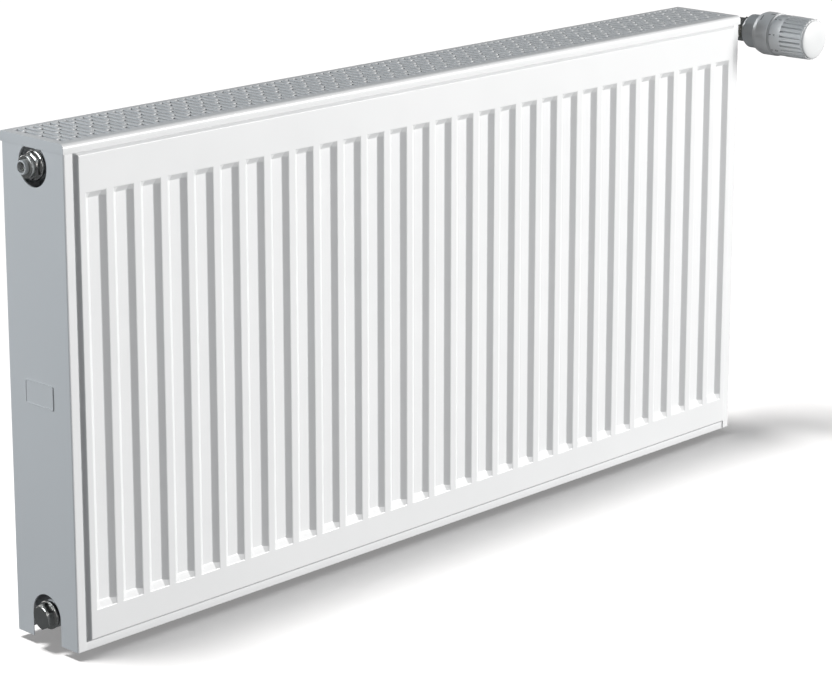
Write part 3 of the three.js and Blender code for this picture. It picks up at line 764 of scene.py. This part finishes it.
def make_vent():
    """The vent's turning collar with its nose ring, and the bleed screw with a square end."""
    place = at_port(PORT_HIGH_Z)
    collar = rounded([(5.4, 5.3, 0.2), (11, 5.3, 0.4), (11, 10, 0.7), (5.4, 10, 0.3)])
    obj = turned("turning_vent_collar", collar, place)
    downwards = place @ Matrix.Translation((0, 7.65, -6)) @ Matrix.Rotation(-math.pi / 2, 4, "X")
    boolean(obj, cylinder(1.2, -2, 8, downwards, 24))
    settle(obj, 35)
    piece(obj, "vent_collar", "nickel", "vent_collar")
    nose = rounded([(5.4, 10.3, 0.2), (7, 10.3, 0.2), (7, 14.6, 0.7), (5.4, 14.6, 0.5)])
    ring = settle(turned("moulded_nose_ring", nose, place), 35)
    piece(ring, "vent_collar", "white_plastic", "vent_nose_ring")

    def section(angle):
        square = min(flat_radius(angle, 4, 5), 3.3)
        return [(0, -7), (3.1, -7), (3.5, -6.6), (3.5, 10.1), (square, 10.1), (square, 13.2),
                (square - 0.4, 13.6), (0, 13.6)]

    screw = settle(swept("keyed_vent_screw", section, place), 30)
    piece(screw, "vent_screw", "nickel", "vent_screw")


def make_plug_seals():
    """Rings under the plugs' flanges."""
    for node, z in (("blank_plug_seal", PORT_LOW_Z), ("vent_plug_seal", PORT_HIGH_Z)):
        ring = rounded([(10.6, -4.2, 0.5), (13.2, -4.2, 0.5), (13.2, -2.7, 0.5), (10.6, -2.7, 0.5)])
        piece(settle(turned("soft_" + node, ring, at_port(z)), 40), "radiator", "seal", node)


# ------------------------------------------------------------------ valve
# Outlines here are (radius, y) round the valve's axis, where y is a depth.

AT_VALVE = Matrix.Translation((VALVE_X, FRONT_Y, VALVE_Z))
# local +Y of the branch's pieces points from the valve to the radiator
ALONG_BRANCH = AT_VALVE @ Matrix.Translation((0, DEPTH / 2, 0)) @ Matrix.Rotation(math.pi / 2, 4, "Z")


def make_valve_body():
    """A hot-pressed body: its round parts flow into each other, and its bores are machined."""
    chamber = rounded([(0, 37, 0), (14, 37, 1.2), (14, 68, 3), (10.9, 68, 1), (10.9, 80, 0.5), (0, 80, 0)])
    body = turned("pressed_valve_body", chamber, AT_VALVE)
    branch = rounded([(0, 5, 0), (11.4, 5, 0), (11.4, 17, 1), (13, 17, 0.8), (13, 29, 0.6), (0, 29, 0)])
    boolean(body, turned("branch", branch, ALONG_BRANCH), "UNION")
    modifier(body, "REMESH", mode="VOXEL", voxel_size=0.42 * MM)
    modifier(body, "SMOOTH", factor=0.6, iterations=6)
    settle(body, 180, even=False)
    for radius, low, high, place in (
        (10.2, 30, 56.1, AT_VALVE),
        (5.2, 50, 70, AT_VALVE),
        (7.7, 60, 90, AT_VALVE),
        (8, 5, 35, ALONG_BRANCH),
    ):
        boolean(body, cylinder(radius, low, high, place))
    settle(body, 40, even=False)
    piece(body, "radiator", "nickel", "valve_body")


def nut_section(across, back, front, bore):
    """A hexagonal nut chamfered at both ends."""
    def section(angle):
        face = across / 2 - 0.4
        radius, edge = chamfered_edge(angle, 6, across, front, face)
        rear = back + (front - edge)
        return [(bore, back), (bore, front), (face, front), (radius, edge), (radius, rear), (face, back)]
    return section


def make_valve_nuts():
    """The union nut on the branch, and the inlet nut on the wall side."""
    union = swept("union_nut_hex", nut_section(30, 20, 40.3, 10), ALONG_BRANCH, HEX_SEGMENTS)
    boolean(union, cylinder(13.4, 10, 34.1, ALONG_BRANCH))
    bevel(union, 0.2, 2, 25)
    piece(settle(union, 40), "radiator", "nickel", "union_nut")
    inlet = swept("inlet_nut_hex", nut_section(27, 68.5, 88, 7.8), AT_VALVE, HEX_SEGMENTS)
    boolean(inlet, cylinder(11.3, 60, 84.3, AT_VALVE))
    bevel(inlet, 0.2, 2, 25)
    piece(settle(inlet, 40), "radiator", "nickel", "inlet_nut")


def make_valve_tail():
    """The tail that joins the valve to the radiator's port."""
    tail = rounded([
        (6.8, 29.3, 0.3), (12.2, 29.3, 0.5), (12.2, 33.8, 0.3), (9.6, 33.8, 0.5), (9.6, 61.2, 0.3),
        (10.3, 61.2, 0.3), (10.3, 73.5, 0.6), (6.8, 73.5, 0.4),
    ])
    piece(settle(turned("turned_valve_tail", tail, ALONG_BRANCH), 40), "radiator", "nickel", "valve_tail")


# ------------------------------------------------------------------ thermostatic head

GRIP_FLUTES = 26
GROOVE = 4.4  # depth of the grip's grooves
BASE_R = 25.35
SCALE_R = 24.1
KNOB_BACK = -13.5
SCALE_END = -30
KNOB_FRONT = -62
INDEX_ANGLE = 17  # degrees anticlockwise from the top, seen from the room
SCALE_ANGLES = (113, 64.7, 16.3, -32, -80.3, -128.7, -177)  # 0, frost guard and 1 to 5, from the index
INK_HEIGHT = 0.06
CAP_SEAT_R = 22.5
KNOB_BORE_R = 18.4
CAP_SEAT_Y = KNOB_FRONT + 2.6


def grip_radius(y):
    """The grip narrows gently towards its front."""
    return 24.4 - 0.5 * (SCALE_END - y) / (SCALE_END - KNOB_FRONT)


def make_head_nut():
    """The collar that clamps the head to the valve."""
    outline = rounded([
        (15.4, 11.2, 0.4), (18.9, 11.2, 0.6), (19.8, 13.0, 0.8), (19.8, 26, 2.5), (16.8, 30, 0.8),
        (15.4, 30, 0.3),
    ])
    nut = settle(turned("moulded_head_nut", outline, AT_VALVE, HEAD_SEGMENTS), 40)
    piece(nut, "radiator", "grey_plastic", "head_nut")


def make_head_base():
    """The head's fixed base, with the sleeve that the knob turns on."""
    outline = rounded([
        (20.5, -13, 0.3), (BASE_R, -13, 0.4), (BASE_R, 4, 3), (23.4, 9.6, 1.5), (19.8, 10.9, 0.4),
        (14.9, 10.9, 0.3), (14.9, 16.2, 0.3), (6, 16.2, 0.3), (6, -8, 0.3), (15.6, -8, 0.2), (15.6, -44, 0.3),
        (17.4, -44, 0.3), (17.4, -9, 0.3), (20.5, -9, 0.3),
    ])
    base = settle(turned("moulded_head_base", outline, AT_VALVE, HEAD_SEGMENTS), 40)
    piece(base, "radiator", "white_plastic", "head_base")


def groove(angle):
    """1 in the middle of a grip groove at this angle, falling to 0 on the ribs."""
    share = angle / TURN * GRIP_FLUTES % 1
    return max(0, min(1, (0.175 - abs(share - 0.5)) / 0.035))


def make_knob():
    """The dial ring and the fluted grip, whose grooves run out through the front rim."""
    groove_floor = [(-45, GROOVE), (KNOB_FRONT + 4.6, GROOVE), (KNOB_FRONT + 2.8, 1.0),
                    (KNOB_FRONT + 1.1, 0.9)]

    def section(angle):
        sunk = groove(angle)
        points = [(24.2, KNOB_BACK), (24.9, KNOB_BACK), (25.2, KNOB_BACK - 0.3), (25.2, KNOB_BACK - 1.0),
                  (25.0, KNOB_BACK - 1.3), (SCALE_R + 0.2, KNOB_BACK - 1.3), (SCALE_R, KNOB_BACK - 1.5),
                  (SCALE_R, SCALE_END + 0.4), (grip_radius(SCALE_END), SCALE_END)]
        for step in range(7):
            share = step / 6
            y = SCALE_END - 0.8 - 2.2 * share
            points.append((grip_radius(y) - GROOVE * sunk * math.sin(share * TURN / 4), y))
        for y, depth in groove_floor:
            points.append((grip_radius(y) - depth * sunk, y))
        points.append((grip_radius(KNOB_FRONT) - 0.3 - 0.6 * sunk, KNOB_FRONT + 0.25))
        points.append((grip_radius(KNOB_FRONT) - 0.55 - 0.4 * sunk, KNOB_FRONT))
        points += [(CAP_SEAT_R, KNOB_FRONT), (CAP_SEAT_R, CAP_SEAT_Y), (KNOB_BORE_R, CAP_SEAT_Y)]
        points.append((KNOB_BORE_R, KNOB_BACK))
        return points

    obj = swept("fluted_knob", section, AT_VALVE, GRIP_FLUTES * 28)
    piece(settle(obj, 40, even=False), "knob", "white_plastic", "head_knob")


def on_ring(angle, across, y, radius):
    """A point on a ring round the valve's axis: angle is anticlockwise from the top, seen from the room."""
    turn = math.radians(angle) - across / radius
    return AT_VALVE @ Vector((-radius * math.sin(turn), y, radius * math.cos(turn)))


def add_bar(points, faces, angle, y, size, radius):
    """A raised bar on a ring, of this width round it and length along the axis, centred at (angle, y)."""
    width, length = size
    count = max(1, round(width))
    first = len(points)
    for i in range(count + 1):
        across = width * (i / count - 0.5)
        for dy in (-length / 2, length / 2):
            for r in (radius, radius + INK_HEIGHT):
                points.append(on_ring(angle, across, y + dy, r))
    for i in range(count):
        base = first + 4 * i
        for a, b in ((0, 1), (1, 3), (3, 2), (2, 0)):
            faces.append((base + a, base + b, base + 4 + b, base + 4 + a))
    last = first + 4 * count
    faces += [(first, first + 2, first + 3, first + 1), (last, last + 1, last + 3, last + 2)]


def add_figure(points, faces, label, angle, y, height, radius):
    """A raised figure on a ring, its top towards the wall."""
    text = bpy.data.curves.new("figure", "FONT")
    text.body = label
    text.size = height / 0.7
    text.align_x = "CENTER"
    text.resolution_u = 3
    text.extrude = INK_HEIGHT / 2
    obj = bpy.data.objects.new("figure", text)
    data = obj.to_mesh()
    first = len(points)
    points += [on_ring(angle, v.co.x, y + v.co.y, radius + INK_HEIGHT / 2 + v.co.z) for v in data.vertices]
    faces += [tuple(first + i for i in face.vertices) for face in data.polygons]
    obj.to_mesh_clear()
    bpy.data.objects.remove(obj)


def make_marks():
    """The knob's scale and the index line on the fixed base, with a black bar painted as the shade inside the
    base's slit.
    """
    points = []
    faces = []
    for label, angle in zip("0*12345", SCALE_ANGLES):
        add_bar(points, faces, INDEX_ANGLE + angle, KNOB_BACK - 3.4, (0.9, 3.0), SCALE_R)
        add_figure(points, faces, label, INDEX_ANGLE + angle, KNOB_BACK - 12.2, 4.4, SCALE_R)
    piece(make_mesh("scale_marks", points, faces), "knob", "seal")
    points = []
    faces = []
    add_bar(points, faces, INDEX_ANGLE, -9.2, (0.9, 6.0), BASE_R)
    # painted shade: this flat black bar stands in for the shadow inside the base's slit
    add_bar(points, faces, INDEX_ANGLE + 19, 1.5, (8.0, 0.8), BASE_R)
    piece(make_mesh("index_line_and_painted_slit_shade", points, faces), "radiator", "seal")


def make_end_cap():
    """The knob's domed cap."""
    radius = 22.4
    dome = []
    for step in range(1, 14):
        angle = TURN / 4 * step / 14
        dome.append((radius * math.sin(angle), -62.6 - 3.4 * math.cos(angle) ** 0.8))
    outline = [(0, -59.7), (0, -66), *dome, (radius, -62.2), (radius, -60.2), (21.9, -59.7)]
    cap = turned("domed_end_cap", outline, AT_VALVE, HEAD_SEGMENTS)
    piece(settle(cap, 40, even=False), "knob", "white_plastic", "head_end_cap")


dress_frame()
make_panels()
make_grille()
make_covers()
make_badge()
make_convectors()
make_tees()
make_lugs()
make_blank_plug()
make_vent_plug()
make_vent()
make_plug_seals()
make_valve_body()
make_valve_nuts()
make_valve_tail()
make_head_nut()
make_head_base()
make_knob()
make_end_cap()
make_marks()


# ------------------------------------------------------------------ stage: floor, lights and camera

def make_floor():
    half = 30000
    z = FLOOR_Z / MM
    floor = make_mesh("floor", [(-half, -half, z), (half, -half, z), (half, half, z), (-half, half, z)],
                      [(0, 1, 2, 3)])
    material = bpy.data.materials.new("pale_floor")
    material.use_nodes = True
    shader = material.node_tree.nodes["Principled BSDF"]
    shader.inputs["Base Color"].default_value = (0.86, 0.86, 0.86, 1)
    shader.inputs["Roughness"].default_value = 0.9
    shader.inputs["Specular IOR Level"].default_value = 0.1
    shader.inputs["Emission Color"].default_value = (1, 0.98, 0.97, 1)
    shader.inputs["Emission Strength"].default_value = 0.24
    floor.data.materials.append(material)
    return floor


def add_light(name, kind, place, target, power, colour):
    light = bpy.data.lights.new(name, kind)
    light.energy = power
    light.color = colour
    obj = bpy.data.objects.new(name, light)
    bpy.context.scene.collection.objects.link(obj)
    obj.location = place
    obj.rotation_euler = (Vector(target) - Vector(place)).to_track_quat("-Z", "Y").to_euler()
    return obj


def softbox(name, place, target, size, power, colour):
    obj = add_light(name, "AREA", place, target, power, colour)
    obj.data.shape = "RECTANGLE"
    obj.data.size, obj.data.size_y = size
    return obj


def make_room():
    """A dim room whose wall is white just above the horizon, so that it meets the floor softly."""
    world = bpy.data.worlds.new("studio")
    world.use_nodes = True
    nodes, links = world.node_tree.nodes, world.node_tree.links
    direction = nodes.new("ShaderNodeTexCoord").outputs["Generated"]
    split = nodes.new("ShaderNodeSeparateXYZ")
    links.new(direction, split.inputs["Vector"])
    ramp = nodes.new("ShaderNodeValToRGB")
    dim = (0.085, 0.09, 0.095)
    white = (1.0, 1.0, 1.0)
    stops = ((0.0, dim), (0.475, dim), (0.48, white), (0.525, white), (0.56, dim), (1.0, dim))
    while len(ramp.color_ramp.elements) < len(stops):
        ramp.color_ramp.elements.new(0.5)
    for element, (position, colour) in zip(ramp.color_ramp.elements, stops):
        element.position = position
        element.color = (*colour, 1)
    half = nodes.new("ShaderNodeMapRange")
    half.inputs["From Min"].default_value = -1
    links.new(split.outputs["Z"], half.inputs["Value"])
    links.new(half.outputs["Result"], ramp.inputs["Fac"])
    links.new(ramp.outputs["Color"], nodes["Background"].inputs["Color"])
    bpy.context.scene.world = world


def link_to_floor(light, floor, state):
    """Makes a light fall on the floor alone ("INCLUDE"), or on everything but the floor ("EXCLUDE")."""
    receivers = bpy.data.collections.new(light.name + "_receivers")
    receivers.objects.link(floor)
    receivers.collection_objects[0].light_linking.link_state = state
    light.light_linking.receiver_collection = receivers


def make_lights(floor):
    """A key from the right, fills from the left and the rear, and a wash from above for the floor alone."""
    key = softbox("key_softbox", (3.4, -4.9, 1.75), (0, -0.05, 0.25), (2.4, 1.9), 482, (1.0, 0.99, 0.975))
    fill = softbox("left_fill", (-2.8, 1.0, 1.4), (-0.5, -0.05, 0.35), (1.5, 1.2), 45, (0.89, 0.955, 1.0))
    rear = softbox("rear_softbox", (0.8, 4.2, 1.5), (0, 0, 0.25), (2.6, 1.6), 105, (0.97, 0.985, 1.0))
    wash = add_light("floor_wash", "SUN", (-0.46, 0.485, 3.2), (0, 0, 0), 2.9, (1.0, 0.985, 0.975))
    wash.data.angle = math.radians(14)
    link_to_floor(key, floor, "EXCLUDE")
    link_to_floor(fill, floor, "EXCLUDE")
    link_to_floor(rear, floor, "EXCLUDE")
    link_to_floor(wash, floor, "INCLUDE")
    floor.visible_diffuse = False
    floor.visible_glossy = False


CAMERA_PLACE = (-2.0966, -2.1137, 1.0425)
CAMERA_AZIMUTH = 45.69  # degrees, from +Y towards +X
CAMERA_DROP = 13.74  # degrees below the horizon
LENS = 122.7
SHIFT = -0.14


def make_camera():
    camera = bpy.data.cameras.new("camera")
    camera.sensor_width = 36
    camera.lens = LENS
    camera.shift_y = SHIFT
    camera.clip_end = 100
    obj = bpy.data.objects.new("camera", camera)
    bpy.context.scene.collection.objects.link(obj)
    azimuth = math.radians(CAMERA_AZIMUTH)
    drop = math.radians(CAMERA_DROP)
    level = math.cos(drop)
    forward = Vector((math.sin(azimuth) * level, math.cos(azimuth) * level, -math.sin(drop)))
    obj.location = CAMERA_PLACE
    obj.rotation_euler = forward.to_track_quat("-Z", "Y").to_euler()
    bpy.context.scene.camera = obj


make_room()
make_lights(make_floor())
make_camera()
bpy.context.scene.view_settings.view_transform = "Standard"
